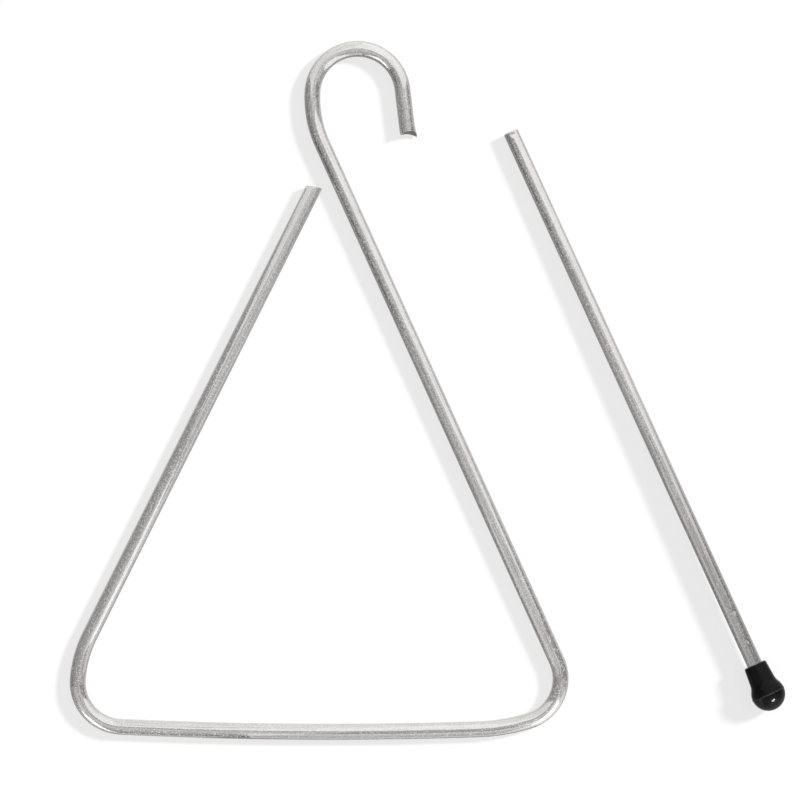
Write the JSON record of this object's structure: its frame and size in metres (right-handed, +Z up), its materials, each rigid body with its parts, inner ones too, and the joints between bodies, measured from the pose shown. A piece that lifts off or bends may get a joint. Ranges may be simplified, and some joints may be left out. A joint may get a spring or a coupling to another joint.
{
  "type": "triangle instrument",
  "caption": "Bent round steel triangle, open at the top corner, whose right leg ends in a hanging hook, lying flat beside its straight steel beater with a black rubber knob.",
  "frame": {"origin": "centre of the set's footprint, on the surface that the triangle and the beater lie on", "axes": "+Z up from that surface, +X across the set from the triangle to the beater's knob, +Y from the triangle's base to its hook"},
  "size_m": [0.2216, 0.2168, 0.0106],
  "materials": {
    "plated_steel": "zinc plated drawn bar with fine draw lines, dull grey speckle and small nicks",
    "black_rubber": "glossy moulded"
  },
  "bodies": {
    "triangle": {"triangle_bar": "plated_steel"},
    "beater": {"beater_rod": "plated_steel", "beater_knob": "black_rubber"}
  },
  "joints": [
    {"name": "beater_lift", "type": "slide", "parent": "triangle", "child": "beater", "axis": [0, 0, 1], "range_m": [0, 0.15]}
  ]
}
